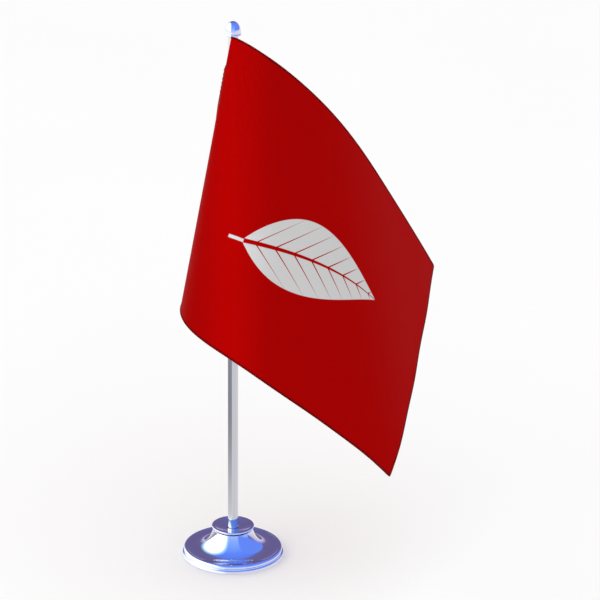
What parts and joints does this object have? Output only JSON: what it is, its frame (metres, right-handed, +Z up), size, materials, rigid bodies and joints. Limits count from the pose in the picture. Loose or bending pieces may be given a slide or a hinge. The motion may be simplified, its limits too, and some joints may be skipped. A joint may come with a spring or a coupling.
{
  "type": "desk flag stand",
  "caption": "Desk flag stand: weighted chromed bell base, upright tubular pole with dome finial, and a red cloth flag whose sleeve turns on the pole.",
  "frame": {"origin": "centre of the underside of the felt pad, on the pole's axis", "axes": "+Z up along the pole, -Y towards the flag's display side, +X towards the flag's fly"},
  "size_m": [0.1508, 0.1393, 0.33],
  "materials": {
    "felt": "dense pressed felt, matt",
    "black_plastic": "moulded, fine grain",
    "iron": "as cast, dark",
    "base_chrome": "bright mirror plating",
    "pole_chrome": "bright plating over drawn tube",
    "zinc_plate": "dull zinc plate",
    "clear_rubber": "translucent, soft",
    "nylon": "natural moulded",
    "flag_cloth": "satin weave, printed device, overlocked edges"
  },
  "bodies": {
    "stand": {"foot_pad": "felt", "base_cover": "black_plastic", "weight_disc": "iron", "base_shell": "base_chrome", "socket_cup": "base_chrome", "pole_tube": "pole_chrome", "pole_stud": "zinc_plate", "clamp_washer": "zinc_plate", "lock_washer": "zinc_plate", "hex_nut": "zinc_plate", "sleeve_stop_ring": "clear_rubber"},
    "finial": {"finial_cap": "base_chrome", "finial_plug": "nylon"},
    "flag": {"hoist_sleeve": "flag_cloth", "flag_panel": "flag_cloth"}
  },
  "joints": [
    {"name": "finial_slide", "type": "slide", "parent": "stand", "child": "finial", "axis": [0, 0, 1], "range_m": [0, 0.015]},
    {"name": "flag_swivel", "type": "hinge", "parent": "stand", "child": "flag", "pos_m": [0, 0, 0.2], "axis": [0, 0, 1], "continuous": true}
  ]
}
